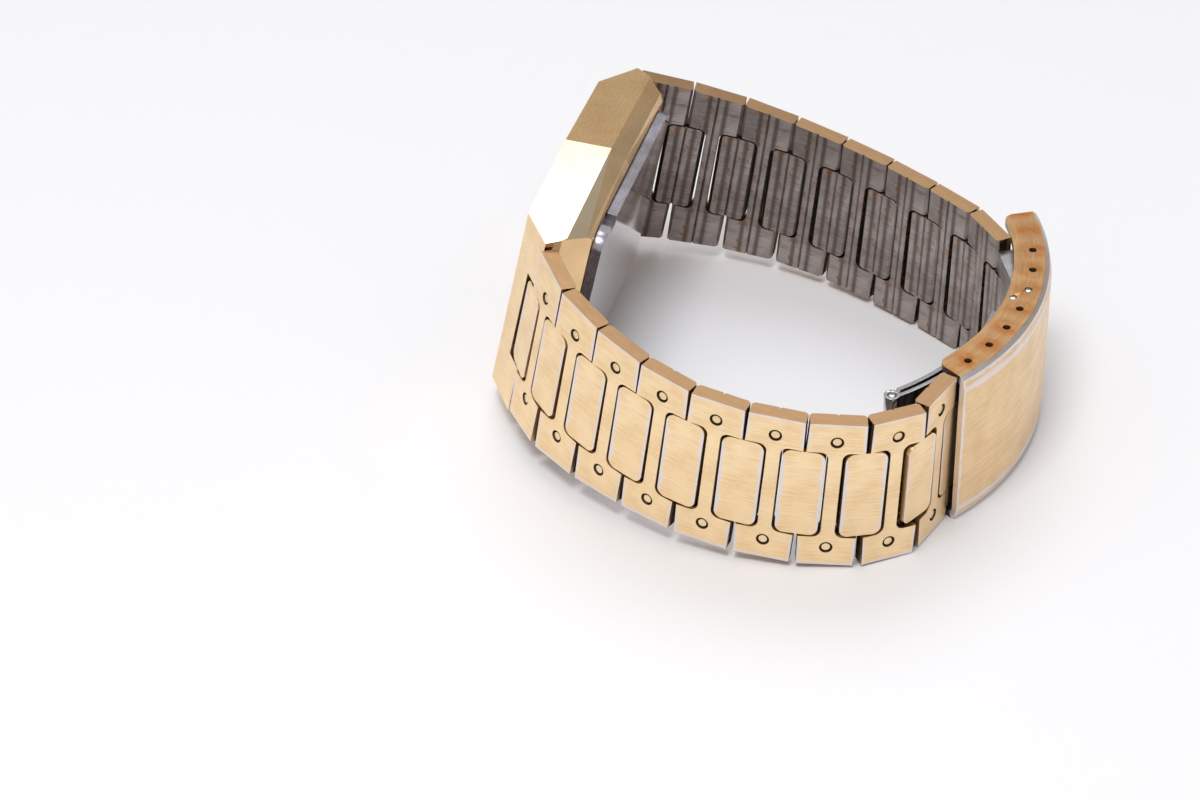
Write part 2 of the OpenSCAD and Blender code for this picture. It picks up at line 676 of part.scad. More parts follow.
module near_connector() color(gold) on_near(len(near_bends) - 1) difference() {
  root = -connector_length / 2;
  tube = connector_length / 2;
  union() {
    tab_block(root - tab_reach + tab_short, root + plate_reach + gap + tab_overlap);
    translate([root + plate_reach + gap, -half_link, -connector_half])
      cube([connector_length - plate_reach - gap, link_thickness, 2 * connector_half]);
    translate([tube, 0, 0]) cylinder(r = eye_radius, h = 2 * connector_half, center = true);
  }
  tab_holes(root);
  translate([tube, 0, 0]) cylinder(r = hinge_pin, h = 2 * connector_half + 2, center = true);
  for (m = [0, 1]) mirror([0, 0, m])
    translate([tube - slot_half, -slot_half, lug_inner - lug_play])
      cube([2 * slot_half, 2 * slot_half, lug_outer - lug_inner + 2 * lug_play]);
}
module end_pin() color(steel) on_near(len(near_bends) - 1)
  translate([connector_length / 2, 0, 0])
    cylinder(r = hinge_pin - press_fit, h = 2 * (connector_half - end_inset), center = true);

module far_connector() color(steel) on_far(len(far_bends) - 1) difference() {
  root = far_connector_length / 2;
  bar = -far_connector_length / 2;
  union() {
    tab_block(root - plate_reach - gap - tab_overlap, root + tab_reach - tab_short);
    translate([bar, -half_link, -connector_half])
      cube([far_connector_length - plate_reach - gap, link_thickness, 2 * connector_half]);
    translate([bar, 0, 0]) cylinder(r = eye_radius, h = 2 * connector_half, center = true);
  }
  tab_holes(root);
  translate([bar, 0, 0]) cylinder(r = bar_sleeve + hinge_play, h = 2 * connector_half + 2, center = true);
}

case_shell();
case_back();
back_gasket();
crystal();
dial();
hour_markers();
hour_hand();
minute_hand();
second_hand();
movement_plate();
movement_ring();
battery();
coil();
crown();
crown_stem();
near_connector();
far_connector();
clasp_cover();
clasp_spring_bar();
inner_blade();
outer_blade();
cover_pin();
knuckle_pin();
end_pin();
for (i = [0 : 9]) near_plate(i);
for (i = [1 : 9]) near_link(i);
for (i = [0 : 8]) far_plate(i);
for (i = [1 : 8]) far_link(i);
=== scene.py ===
import json
import math

import bmesh
import bpy
from mathutils import Matrix, Vector

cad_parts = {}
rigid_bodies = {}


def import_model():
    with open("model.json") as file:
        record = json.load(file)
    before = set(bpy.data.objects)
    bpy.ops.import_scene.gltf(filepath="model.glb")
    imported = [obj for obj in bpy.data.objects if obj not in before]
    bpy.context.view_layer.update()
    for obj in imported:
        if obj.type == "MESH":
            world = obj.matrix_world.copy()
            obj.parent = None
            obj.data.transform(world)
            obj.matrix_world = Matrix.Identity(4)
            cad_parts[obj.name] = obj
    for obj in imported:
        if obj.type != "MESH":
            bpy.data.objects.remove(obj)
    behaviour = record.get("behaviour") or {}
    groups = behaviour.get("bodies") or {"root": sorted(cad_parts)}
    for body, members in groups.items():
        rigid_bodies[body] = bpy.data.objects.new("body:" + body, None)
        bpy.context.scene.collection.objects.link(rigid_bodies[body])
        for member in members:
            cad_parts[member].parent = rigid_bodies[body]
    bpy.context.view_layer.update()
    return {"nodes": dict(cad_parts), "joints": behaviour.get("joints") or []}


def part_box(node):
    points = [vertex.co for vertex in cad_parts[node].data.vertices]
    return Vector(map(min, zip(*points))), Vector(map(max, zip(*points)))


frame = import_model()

# Case shell.
# The body of the watch, pressed and turned brass under gold plate. Its long sides are polished,
# with a painted highlight in the paler gold of their near facets, and its front and its two sloping
# ends are brushed along the strap.
mm = 0.001
nodes = frame["nodes"]
hinge_of = {joint["child"]: joint for joint in frame["joints"]}
GOLD = (0.97, 0.75, 0.47, 1)
GOLD_DEEP = (0.72, 0.47, 0.20, 1)
# Near black, for grime and for painted shade in gaps, sunk rings and holes.
GRIME_AND_SHADE = (0.035, 0.022, 0.012, 1)
# The values of a soft pattern between which a gloss changes, and those for a tone
noise_span = (0.3, 0.7)
tone_span = (0.35, 0.7)
# Brush marks in a metre: along the strap, into the loop and across it
brush_density = (350, 9000, 9000)


def axes_matrix(middle, along, inward):
    """A piece's own frame: X runs along the strap, Y points into the loop, Z runs across."""
    x = along.normalized()
    z = x.cross(inward).normalized()
    y = z.cross(x)
    made = Matrix((x, y, z)).transposed().to_4x4()
    made.translation = middle
    return made


def give_frame(piece, axes):
    """Writes a piece's own frame on it, which its finish reads."""
    names = ("along", "inward", "across", "middle")
    for name, column in zip(names, axes.col):
        piece[name] = list(column.to_3d())


def step(tree, kind, inputs=None, **settings):
    """One shader node. Each input is a plain value, or the output of another node."""
    made = tree.nodes.new("ShaderNode" + kind)
    for name, value in settings.items():
        setattr(made, name, value)
    for place, value in (inputs or {}).items():
        if isinstance(value, bpy.types.NodeSocket):
            tree.links.new(value, made.inputs[place])
        else:
            made.inputs[place].default_value = value
    return made


def calc(tree, operation, first, second=0.0):
    """A sum on one or two numbers."""
    return step(tree, "Math", {0: first, 1: second}, operation=operation).outputs[0]


def ramp(tree, value, low, high, start=0.0, end=1.0):
    """Runs smoothly from start to end while value runs from low to high."""
    inputs = {"Value": value, "From Min": low, "From Max": high, "To Min": start, "To Max": end}
    return step(tree, "MapRange", inputs, interpolation_type="SMOOTHSTEP").outputs[0]


def mixed(tree, share, first, second):
    """A colour between two others."""
    made = step(tree, "Mix", {0: share, 6: first, 7: second}, data_type="RGBA")
    return made.outputs[2]


def noise(tree, vector, detail=3.0):
    """A soft pattern from 0 to 1."""
    return step(tree, "TexNoise", {"Vector": vector, "Scale": 1.0, "Detail": detail}).outputs[0]


def joined(tree, *parts):
    """One vector from up to three numbers."""
    return step(tree, "CombineXYZ", dict(enumerate(parts))).outputs[0]


def stretched(tree, place, scales):
    """A place in a piece's frame, stretched by a scale for each direction."""
    return joined(tree, *(calc(tree, "MULTIPLY", value, scale) for value, scale in zip(place, scales)))


def measure(tree, operation, *vectors):
    """A number got from vectors: the length of one, or the dot product of two."""
    return step(tree, "VectorMath", dict(enumerate(vectors)), operation=operation).outputs["Value"]


def own_place(tree):
    """Distances along, into the loop and across, in a piece's own frame."""
    here = step(tree, "TexCoord").outputs["Object"]
    read = {
        name: step(tree, "Attribute", attribute_type="OBJECT", attribute_name=name).outputs["Vector"]
        for name in ("middle", "along", "inward", "across")
    }
    away = step(tree, "VectorMath", {0: here, 1: read["middle"]}, operation="SUBTRACT").outputs[0]
    return [measure(tree, "DOT_PRODUCT", away, read[name]) for name in ("along", "inward", "across")]


def new_metal(name, roughness):
    """A metal finish without its pattern: the material, its nodes and its shader."""
    made = bpy.data.materials.new(name)
    made.use_nodes = True
    shader = made.node_tree.nodes["Principled BSDF"]
    shader.inputs["Metallic"].default_value = 1.0
    shader.inputs["Roughness"].default_value = roughness
    return made, made.node_tree, shader


def feed(tree, shader, socket, value):
    """Links a pattern to one of the shader's sockets."""
    tree.links.new(value, shader.inputs[socket])


def bumped(tree, shader, height, strength, depth):
    """Raises the surface by a pattern, for a depth in metres."""
    made = step(tree, "Bump", {"Height": height, "Strength": strength, "Distance": depth})
    feed(tree, shader, "Normal", made.outputs[0])


def brush_marks(tree, place):
    """Fine marks that run along the strap."""
    return noise(tree, stretched(tree, place, brush_density))


def blotches(tree, place, size):
    """Uneven tone over a size in metres."""
    return noise(tree, stretched(tree, place, (1 / size,) * 3))


def brushed_tone(tree, place, marks, size):
    """The mean of brush marks and of blotches of a size in metres."""
    return calc(tree, "MULTIPLY", calc(tree, "ADD", marks, blotches(tree, place, size)), 0.5)


def brushed(tree, shader, marks, roughness, least=0.8, most=1.25):
    """Lets the gloss and the height of a surface follow its brush marks."""
    gloss = ramp(tree, marks, *noise_span, roughness * least, roughness * most)
    feed(tree, shader, "Roughness", gloss)
    bumped(tree, shader, marks, 0.25, 0.01 * mm)


def polished_gold(name, gold, deep, roughness, uneven=0.35):
    """Polished plate with faint rubs and slightly uneven tone."""
    made, tree, shader = new_metal(name, roughness)
    place = own_place(tree)
    tone = blotches(tree, place, 4 * mm)
    feed(tree, shader, "Base Color", mixed(tree, ramp(tree, tone, 0.35, 0.75, 0.0, 0.45), gold, deep))
    rubs = brush_marks(tree, place)
    gloss = ramp(tree, rubs, 0.2, 0.8, roughness * (1 - uneven), roughness * (1 + uneven))
    feed(tree, shader, "Roughness", gloss)
    bumped(tree, shader, rubs, 0.05, 0.004 * mm)
    return made


def brushed_gold(name, gold, deep, roughness):
    """Brushed plate: fine marks along the strap, in tone, gloss and height."""
    made, tree, shader = new_metal(name, roughness)
    place = own_place(tree)
    marks = brush_marks(tree, place)
    tone = brushed_tone(tree, place, marks, 3 * mm)
    feed(tree, shader, "Base Color", mixed(tree, ramp(tree, tone, *tone_span, 0.0, 0.5), gold, deep))
    brushed(tree, shader, marks, roughness)
    return made


# Corners closer than this are one, flatter faces than this are one, and sharper edges are rounded
weld_reach = 0.0005 * mm
flat_within = math.radians(1)
edge_above = math.radians(32)


def soften(piece, width, smooth):
    """Joins the mesh's split corners, then rounds each edge a little, as plating and wear leave it."""
    weld = piece.modifiers.new("joined", "WELD")
    weld.merge_threshold = weld_reach
    flat = piece.modifiers.new("flat_faces", "DECIMATE")
    flat.decimate_type = "DISSOLVE"
    flat.angle_limit = flat_within
    flat.delimit = {"MATERIAL"}
    bevel = piece.modifiers.new("rounded_edges", "BEVEL")
    bevel.width = width
    bevel.segments = 2
    bevel.limit_method = "ANGLE"
    bevel.angle_limit = edge_above
    if smooth:
        shading = piece.modifiers.new("even_shading", "WEIGHTED_NORMAL")
        shading.keep_sharp = True


def finish(piece, axes, materials, slot_for, width=0.0, smooth=True):
    """Gives a piece its frame and its finishes. slot_for names the finish of a face by its
    middle and its normal, in the piece's own frame. A piece of flat facets isn't smoothed."""
    give_frame(piece, axes)
    piece.data.materials.clear()
    names = list(materials)
    for name in names:
        piece.data.materials.append(materials[name])
    to_own = axes.inverted()
    turn = to_own.to_3x3()
    for face in piece.data.polygons:
        face.material_index = names.index(slot_for(to_own @ face.center, turn @ face.normal))
        face.use_smooth = smooth
    if width:
        soften(piece, width, smooth)


hands_axis = Vector(hinge_of["second_hand"]["axis"])
crown_axis = Vector(hinge_of["crown_stem"]["axis"])
case_middle = Vector(hinge_of["second_hand"]["pos_m"])
case_axes = axes_matrix(case_middle, hands_axis.cross(-crown_axis), hands_axis)
case_finishes = {
    "brushed": brushed_gold("case_brushed_gold", GOLD, GOLD_DEEP, 0.34),
    # The paler tint of this polished gold is a painted highlight on the near facets of the long sides.
    "polished": polished_gold("case_polished_gold_painted_highlight", (0.97, 0.80, 0.55, 1), (0.86, 0.66, 0.40, 1), 0.13),
    "rubbed": polished_gold("case_rubbed_gold", (1.0, 0.67, 0.34, 1), (0.86, 0.50, 0.21, 1), 0.27, 0.06),
    "flank": polished_gold("case_flank_gold", (0.98, 0.68, 0.38, 1), (0.74, 0.46, 0.22, 1), 0.24, 0.1),
}
near_end = case_axes.inverted() @ Vector(hinge_of["near_plate_0"]["pos_m"])
# How far a face has to lean towards the back, or towards a long side, to be part of it
flank_tilt = 0.3
side_tilt = 0.25


def case_slot(middle, normal):
    """The long sides are polished on their near facets, in a paler gold that is a painted highlight,
    and duller and deeper gold where they were rubbed, past their crease. The flank that runs under
    to the back is duller too."""
    if normal.y > flank_tilt:
        return "flank"
    if abs(normal.z) > side_tilt:
        return "polished" if middle.x * near_end.x > 0 else "rubbed"
    return "brushed"


finish(nodes["case_shell"], case_axes, case_finishes, case_slot, 0.16 * mm, smooth=False)

# Case back and seal.
# The back is pressed from stainless steel, with a brushed rim and a polished face. It snaps into
# the shell over a black rubber seal, and a notch at its rim takes the tool that opens it.
STEEL = (0.60, 0.58, 0.57, 1)
STEEL_DARK = (0.30, 0.28, 0.27, 1)


def brushed_steel(name, steel, dark, roughness):
    """Brushed stainless steel, a little uneven in tone."""
    made, tree, shader = new_metal(name, roughness)
    place = own_place(tree)
    marks = brush_marks(tree, place)
    tone = brushed_tone(tree, place, marks, 2.5 * mm)
    feed(tree, shader, "Base Color", mixed(tree, ramp(tree, tone, *tone_span), steel, dark))
    brushed(tree, shader, marks, roughness, 0.75, 1.3)
    return made


back_finish = {
    "rim": brushed_steel("back_rim_steel", (0.55, 0.52, 0.58, 1), (0.34, 0.31, 0.34, 1), 0.28),
    "face": brushed_steel("back_face_steel", (0.93, 0.92, 0.92, 1), (0.86, 0.85, 0.85, 1), 0.08),
}
back_face_tilt = 0.7


def back_slot(middle, normal):
    """The face towards the wrist is polished, and the rim round it is brushed."""
    return "face" if normal.y > back_face_tilt else "rim"


finish(nodes["case_back"], case_axes, back_finish, back_slot, 0.15 * mm)


def matte(name, colour, dark, roughness, grain):
    """A plain finish that isn't metal, with a fine grain."""
    made, tree, shader = new_metal(name, roughness)
    shader.inputs["Metallic"].default_value = 0.0
    spread = blotches(tree, own_place(tree), grain)
    feed(tree, shader, "Base Color", mixed(tree, ramp(tree, spread, *noise_span), colour, dark))
    bumped(tree, shader, spread, 0.2, grain / 8)
    return made


seal_finish = {
    "rubber": matte("seal_rubber", (0.03, 0.03, 0.03, 1), (0.015, 0.015, 0.015, 1), 0.6, 0.3 * mm)
}
finish(nodes["back_gasket"], case_axes, seal_finish, lambda middle, normal: "rubber")

# Crystal.
# A flat mineral glass with ground edges, pressed into the window of the shell.
glass = bpy.data.materials.new("mineral_glass")
glass.use_nodes = True
glass_shader = glass.node_tree.nodes["Principled BSDF"]
glass_shader.inputs["Base Color"].default_value = (0.96, 0.98, 0.98, 1)
glass_shader.inputs["Transmission Weight"].default_value = 1.0
glass_shader.inputs["IOR"].default_value = 1.5
smears = blotches(glass.node_tree, own_place(glass.node_tree), 3 * mm)
feed(glass.node_tree, glass_shader, "Roughness", ramp(glass.node_tree, smears, 0.4, 0.8, 0.01, 0.05))
finish(nodes["crystal"], case_axes, {"glass": glass}, lambda middle, normal: "glass", 0.15 * mm)

# Dial and hour markers.
# The dial is a thin brass plate, lacquered in satin champagne and brushed from its centre. Twelve
# gold bars are riveted to it.
dial_paint, dial_tree, dial_shader = new_metal("dial_lacquer", 0.35)
dial_shader.inputs["Metallic"].default_value = 0.6
dial_place = own_place(dial_tree)
ray_angle = calc(dial_tree, "ARCTAN2", dial_place[2], dial_place[0])
rays_in_a_radian = 60
rays = noise(dial_tree, stretched(dial_tree, (ray_angle,) * 3, (rays_in_a_radian, 0, 0)), 4.0)
CHAMPAGNE = (0.82, 0.72, 0.52, 1)
CHAMPAGNE_DEEP = (0.66, 0.56, 0.38, 1)
dial_tone = mixed(dial_tree, ramp(dial_tree, rays, *noise_span), CHAMPAGNE, CHAMPAGNE_DEEP)
feed(dial_tree, dial_shader, "Base Color", dial_tone)
bumped(dial_tree, dial_shader, rays, 0.15, 0.01 * mm)
finish(nodes["dial"], case_axes, {"lacquer": dial_paint}, lambda middle, normal: "lacquer")
marker_finish = {"gold": polished_gold("marker_gold", GOLD, GOLD_DEEP, 0.15)}
finish(nodes["hour_markers"], case_axes, marker_finish, lambda middle, normal: "gold", 0.04 * mm)

# Hands.
# Stamped brass strips on small tubes, lacquered black.
hand_finish = {
    "black": matte("hand_lacquer", (0.02, 0.02, 0.02, 1), (0.035, 0.03, 0.025, 1), 0.25, 0.5 * mm)
}
for name in ("hour_hand", "minute_hand", "second_hand"):
    finish(nodes[name], case_axes, hand_finish, lambda middle, normal: "black", 0.03 * mm)

# Movement.
# A brass plate holds the works, the button cell and the coil. A white plastic ring fits it
# to the case.
plate_finish = {"brass": brushed_gold("works_brass", (0.70, 0.56, 0.32, 1), (0.52, 0.38, 0.18, 1), 0.35)}
finish(nodes["movement_plate"], case_axes, plate_finish, lambda middle, normal: "brass", 0.06 * mm)
ring_finish = {
    "plastic": matte("ring_plastic", (0.82, 0.80, 0.75, 1), (0.70, 0.68, 0.62, 1), 0.45, 0.4 * mm)
}
finish(nodes["movement_ring"], case_axes, ring_finish, lambda middle, normal: "plastic")
cell_finish = {"steel": brushed_steel("cell_steel", STEEL, STEEL_DARK, 0.2)}
finish(nodes["battery"], case_axes, cell_finish, lambda middle, normal: "steel", 0.12 * mm)

winding, winding_tree, winding_shader = new_metal("coil_copper", 0.3)
winding_place = own_place(winding_tree)
across_turns = stretched(winding_tree, winding_place, (0, 0, 6000))
wave_inputs = {"Vector": across_turns, "Scale": 1.0, "Distortion": 0.4}
turns = step(winding_tree, "TexWave", wave_inputs, bands_direction="Z").outputs[1]
COPPER_DARK = (0.25, 0.07, 0.02, 1)
COPPER = (0.62, 0.24, 0.09, 1)
feed(winding_tree, winding_shader, "Base Color", mixed(winding_tree, turns, COPPER_DARK, COPPER))
bumped(winding_tree, winding_shader, turns, 0.6, 0.03 * mm)
finish(nodes["coil"], case_axes, {"copper": winding}, lambda middle, normal: "copper")

# Crown and stem.
# A small fluted gold-plated knob on a steel stem, at three o'clock. It is pulled out to set
# the hands.
# The crown reuses the case's polished gold, with its paler tint that is a painted highlight.
crown_finish = {"gold": case_finishes["polished"]}
finish(nodes["crown"], case_axes, crown_finish, lambda middle, normal: "gold", 0.05 * mm)
finish(nodes["crown_stem"], case_axes, cell_finish, lambda middle, normal: "steel")

# Centre plates of the strap.
# Each is folded from gold-plated sheet round two pins. The plate is worn to the pale metal below
# along both long edges, and its inner face is bare steel.
WORN = (0.78, 0.73, 0.74, 1)
plate_length = 4.45 * mm
worn_band = 0.34 * mm
worn_roughness = 0.36
fold_place = 0.95 * mm
# The inside steel is painted darker for dirt and for shade in the loop, and the folds near black as
# painted shade.
DIRTY_STEEL_PAINTED_SHADE = (0.45, 0.395, 0.37, 1)
DIRTY_STEEL_PAINTED_SHADE_DARK = (0.24, 0.20, 0.185, 1)
FOLD_PAINTED_SHADE = (0.10, 0.08, 0.07, 1)
RUST = (0.30, 0.13, 0.05, 1)
# How far a face has to lean towards the front or the inside to be part of it
facing = 0.5


def own_middle(piece, axes):
    """The middle of a piece between its ends, sides and faces, measured in its own frame."""
    own = [axes.inverted() @ v.co for v in piece.data.vertices]
    reach = [(min(v[i] for v in own) + max(v[i] for v in own)) / 2 for i in range(3)]
    return axes @ Vector(reach)


def strap_axes(node):
    """The frame of a strap piece, from the two hinges that it turns on. Its inward axis points
    to the middle of the loop. Where the loop is opened a piece has one hinge, and its other end
    is as far on the other side of its own middle."""
    hinges = [hinge_of[node]] + [joint for joint in frame["joints"] if joint["parent"] == node]
    ends = [Vector(joint["pos_m"]) for joint in hinges[:2]]
    across = sum((Vector(joint["axis"]) for joint in hinges[:2]), Vector())
    tries = 1
    if len(ends) == 1:
        ends.append(sum(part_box(node), Vector()) - ends[0])
        tries = 4
    for _ in range(tries):
        middle = (ends[0] + ends[1]) / 2
        along = ends[1] - ends[0]
        if across.cross(along).dot(middle) > 0:
            along = -along
        axes = axes_matrix(middle, along, across.cross(along))
        if tries > 1:
            ends[1] = 2 * own_middle(nodes[node], axes) - ends[0]
    return axes


def worn_gold(tree, shader, place, from_edge, roughness, gold_tones=(GOLD, GOLD_DEEP)):
    """Brushed gold that is worn through to pale metal near an edge, from_edge metres away."""
    marks = brush_marks(tree, place)
    patches = blotches(tree, place, 1.6 * mm)
    tone = brushed_tone(tree, place, marks, 3 * mm)
    gold = mixed(tree, ramp(tree, tone, *tone_span, 0.0, 0.55), *gold_tones)
    uneven = calc(tree, "MULTIPLY", calc(tree, "SUBTRACT", patches, 0.45), 2.4 * worn_band)
    reach = calc(tree, "ADD", from_edge, uneven)
    bare = ramp(tree, reach, worn_band * 0.6, worn_band * 1.5, 0.85, 0.0)
    feed(tree, shader, "Base Color", mixed(tree, bare, gold, WORN))
    brushed(tree, shader, marks, roughness)


def worn_plate():
    """The front of a centre plate, worn along its two long edges."""
    made, tree, shader = new_metal("plate_worn_gold", worn_roughness)
    place = own_place(tree)
    from_edge = calc(tree, "SUBTRACT", plate_length / 2, calc(tree, "ABSOLUTE", place[0]))
    worn_gold(tree, shader, place, from_edge, worn_roughness)
    return made


def distance(tree, value, place):
    """How far a number is from a place, on either side."""
    return calc(tree, "ABSOLUTE", calc(tree, "SUBTRACT", value, place))


def strap_inside():
    """Bare steel on the inside of the strap, painted darker for dirt and for the shade inside the
    loop: folded edges that show as bands of painted shade across it, dull, with small spots of rust
    beside the folds."""
    made, tree, shader = new_metal("strap_inside_steel_dirt_and_painted_shade", 0.34)
    place = own_place(tree)
    marks = brush_marks(tree, place)
    from_fold = distance(tree, calc(tree, "ABSOLUTE", place[0]), fold_place)
    fold = ramp(tree, from_fold, 0.05 * mm, 0.45 * mm, 1.0, 0.0)
    tone = brushed_tone(tree, place, marks, 2.5 * mm)
    steel = mixed(tree, ramp(tree, tone, *tone_span), DIRTY_STEEL_PAINTED_SHADE, DIRTY_STEEL_PAINTED_SHADE_DARK)
    # Painted shade in the crease of each fold.
    steel = mixed(tree, calc(tree, "MULTIPLY", fold, 0.8), steel, FOLD_PAINTED_SHADE)
    spots = ramp(tree, blotches(tree, place, 0.7 * mm), 0.58, 0.66)
    rust = calc(tree, "MULTIPLY", spots, ramp(tree, from_fold, 0.2 * mm, 0.9 * mm, 0.9, 0.15))
    feed(tree, shader, "Base Color", mixed(tree, rust, steel, RUST))
    feed(tree, shader, "Roughness", ramp(tree, tone, *noise_span, 0.26, 0.45))
    height = calc(tree, "SUBTRACT", marks, calc(tree, "MULTIPLY", fold, 2.0))
    bumped(tree, shader, height, 0.4, 0.02 * mm)
    return made


def gap_grime_and_shade():
    """The sides of a piece in the gaps of the strap: gold that darkens into the gap, painted shade
    between the pieces with patches of grime.
    """
    made, tree, shader = new_metal("gap_gold_grime_and_painted_shade", 0.4)
    place = own_place(tree)
    depth = ramp(tree, place[1], -0.75 * mm, -0.25 * mm)
    spots = blotches(tree, place, 0.6 * mm)
    # Painted shade deep in the gap, patchy like grime.
    grime_and_shade = calc(tree, "MULTIPLY", depth, ramp(tree, spots, 0.2, 0.6, 0.75, 1.0))
    feed(tree, shader, "Base Color", mixed(tree, grime_and_shade, GOLD_DEEP, GRIME_AND_SHADE))
    feed(tree, shader, "Roughness", ramp(tree, grime_and_shade, 0.0, 1.0, 0.35, 0.8))
    bumped(tree, shader, spots, 0.3, 0.02 * mm)
    return made


strap_edge = brushed_gold("strap_edge_gold", (0.54, 0.33, 0.175, 1), (0.42, 0.24, 0.11, 1), 0.36)
strap_common = {"inside": strap_inside(), "gap": gap_grime_and_shade(), "edge": strap_edge}
plate_finishes = {"front": worn_plate(), **strap_common}


def plate_slot(middle, normal):
    """Front, inside or gap, by the way a face of a centre plate looks."""
    if normal.y < -facing:
        return "front"
    return "inside" if normal.y > facing else "gap"


plates = [name for name in nodes if "_plate_" in name]
for name in plates:
    finish(nodes[name], strap_axes(name), plate_finishes, plate_slot, 0.12 * mm)

# Links of the strap.
# Each is an H of folded gold-plated sheet, with a rivet in a sunk ring at both ends, the ring
# painted near black for grime and for painted shade. Its outer edges are worn to the pale metal,
# and its inside is bare steel.
link_half = 3.05 * mm
link_thickness = 1.8 * mm
rivet_place = 6.9 * mm
rivet_hole = 0.72 * mm
rivet_dot = 0.47 * mm
tab_inner = 5.55 * mm
ring_margin = 0.02 * mm
outer_side_tilt = 0.7


def worn_link():
    """The front of a link, worn at the outer corners of its four tabs."""
    made, tree, shader = new_metal("link_worn_gold", worn_roughness)
    place = own_place(tree)
    edge_read = step(tree, "Attribute", attribute_type="OBJECT", attribute_name="outer_edge")
    reach, slope, _ = step(tree, "SeparateXYZ", {0: edge_read.outputs["Vector"]}).outputs
    edge = calc(tree, "ADD", reach, calc(tree, "MULTIPLY", slope, place[0]))
    across = calc(tree, "ABSOLUTE", place[2])
    from_side = calc(tree, "SUBTRACT", link_half, calc(tree, "ABSOLUTE", place[0]))
    on_waist = ramp(tree, across, tab_inner - 0.1 * mm, tab_inner + 0.5 * mm, 3 * mm, 0.0)
    from_side = calc(tree, "ADD", from_side, on_waist)
    from_edge = calc(tree, "MINIMUM", from_side, calc(tree, "SUBTRACT", edge, across))
    worn_gold(tree, shader, place, from_edge, worn_roughness)
    return made


# The sunk rings and the cover's holes are painted near black: grime, and painted shade in them.
hollow_grime_and_shade = matte("hollow_grime_and_painted_shade", GRIME_AND_SHADE, (0.10, 0.06, 0.03, 1), 0.5, 0.2 * mm)
link_finishes = {"front": worn_link(), "ring": hollow_grime_and_shade, **strap_common}


def link_slot(middle, normal):
    """Front, sunk ring, outer edge, inside or gap, by a face's place and the way it looks."""
    from_rivet = math.hypot(middle.x, abs(middle.z) - rivet_place)
    if from_rivet < rivet_hole and -link_thickness / 2 < middle.y - ring_margin < 0:
        return "front" if from_rivet < rivet_dot and normal.y < -facing else "ring"
    if normal.y < -facing:
        return "front"
    if normal.y > facing:
        return "inside"
    outer = abs(normal.z) > outer_side_tilt and abs(middle.z) > rivet_place
    return "edge" if outer else "gap"


links = [name for name in nodes if "_link_" in name]
for name in links:
    axes = strap_axes(name)
    link = nodes[name]
    own = [axes.inverted() @ v.co for v in link.data.vertices]
    ends = [max(abs(v.z) for v in own if v.x * side > link_half * 0.9) for side in (-1, 1)]
    link["outer_edge"] = [sum(ends) / 2, (ends[1] - ends[0]) / (2 * link_half), 0.0]
    finish(link, axes, link_finishes, link_slot, 0.1 * mm)

# Connectors of the strap.
# The last piece of each half. The near one is rolled round the end pin and gold-plated; the far
# one is bare steel, and the spring bar passes through its rolled end.
near_axes = strap_axes("near_connector")
finish(nodes["near_connector"], near_axes, {"front": strap_edge, **strap_common}, plate_slot, 0.12 * mm)
far_axes = strap_axes("far_connector")
far_finish = {"steel": brushed_steel("connector_steel", STEEL, STEEL_DARK, 0.3)}
finish(nodes["far_connector"], far_axes, far_finish, lambda middle, normal: "steel", 0.12 * mm)

# Clasp cover.
# A curved gold-plated sheet, pressed with rolled sides. Seven holes in each side wall take the
# spring bar. The rolls are worn to the pale metal, and the walls are tarnished round the holes.
hole_radius = 29.55 * mm
cover_radius = 31.6 * mm
cover_half = 9.3 * mm
end_pin_angle = math.radians(-26)
end_pin_radius = 28.85 * mm
hole_step = cover_radius * math.radians(7.2)
mouth_place = cover_radius * math.radians(-33.8)
worn_lines = (1.5 * mm, 0.35 * mm)
wall_band = 0.72 * mm
hole_reach = 1.4 * mm
wall_top = cover_radius - 1.0 * mm
shell_from = cover_radius - 0.75 * mm
COVER_GOLD = (0.84, 0.62, 0.37, 1)
COVER_GOLD_DEEP = (0.62, 0.40, 0.18, 1)
WALL_GOLD = (0.64, 0.40, 0.20, 1)
WALL_GOLD_DEEP = (0.50, 0.28, 0.12, 1)
TARNISH = (0.48, 0.18, 0.05, 1)


def clasp_axes():
    """The frame at the centre of the cover's curve, with X through the spring bar."""
    bar = Vector(hinge_of["clasp_cover"]["pos_m"])
    pin = sum(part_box("end_pin"), Vector()) / 2
    pin_x = end_pin_radius * math.cos(end_pin_angle)
    pin_y = end_pin_radius * math.sin(end_pin_angle)
    own = Vector((pin_x - hole_radius, pin_y))
    there = (pin - bar).to_2d()
    heading = math.atan2(there.y, there.x) - math.atan2(own.y, own.x)
    x = Vector((math.cos(heading), math.sin(heading), 0))
    middle = bar - hole_radius * x
    middle.z = cover_half
    made = Matrix((x, Vector((-x.y, x.x, 0)), Vector((0, 0, 1)))).transposed().to_4x4()
    made.translation = middle
    return made


clasp_frame = clasp_axes()


def round_the_curve(tree):
    """Distances round the cover's curve, from its centre, and across."""
    x, y, z = own_place(tree)
    angle = calc(tree, "ARCTAN2", y, x)
    radius = measure(tree, "LENGTH", joined(tree, x, y))
    return calc(tree, "MULTIPLY", angle, cover_radius), radius, z


def cover_shell():
    """The outer face: brushed round the curve. Its rolled sides are bare in two lines, with a
    line of gold between them, and its mouth is bare at the edge."""
    made, tree, shader = new_metal("cover_shell_gold", 0.34)
    place = round_the_curve(tree)
    from_side = calc(tree, "SUBTRACT", cover_half, calc(tree, "ABSOLUTE", place[2]))
    inner_line, outer_line = (distance(tree, from_side, line) for line in worn_lines)
    lines = calc(tree, "MINIMUM", inner_line, outer_line)
    from_edge = calc(tree, "MINIMUM", lines, distance(tree, place[0], mouth_place))
    worn_gold(tree, shader, place, from_edge, 0.34, (COVER_GOLD, COVER_GOLD_DEEP))
    return made


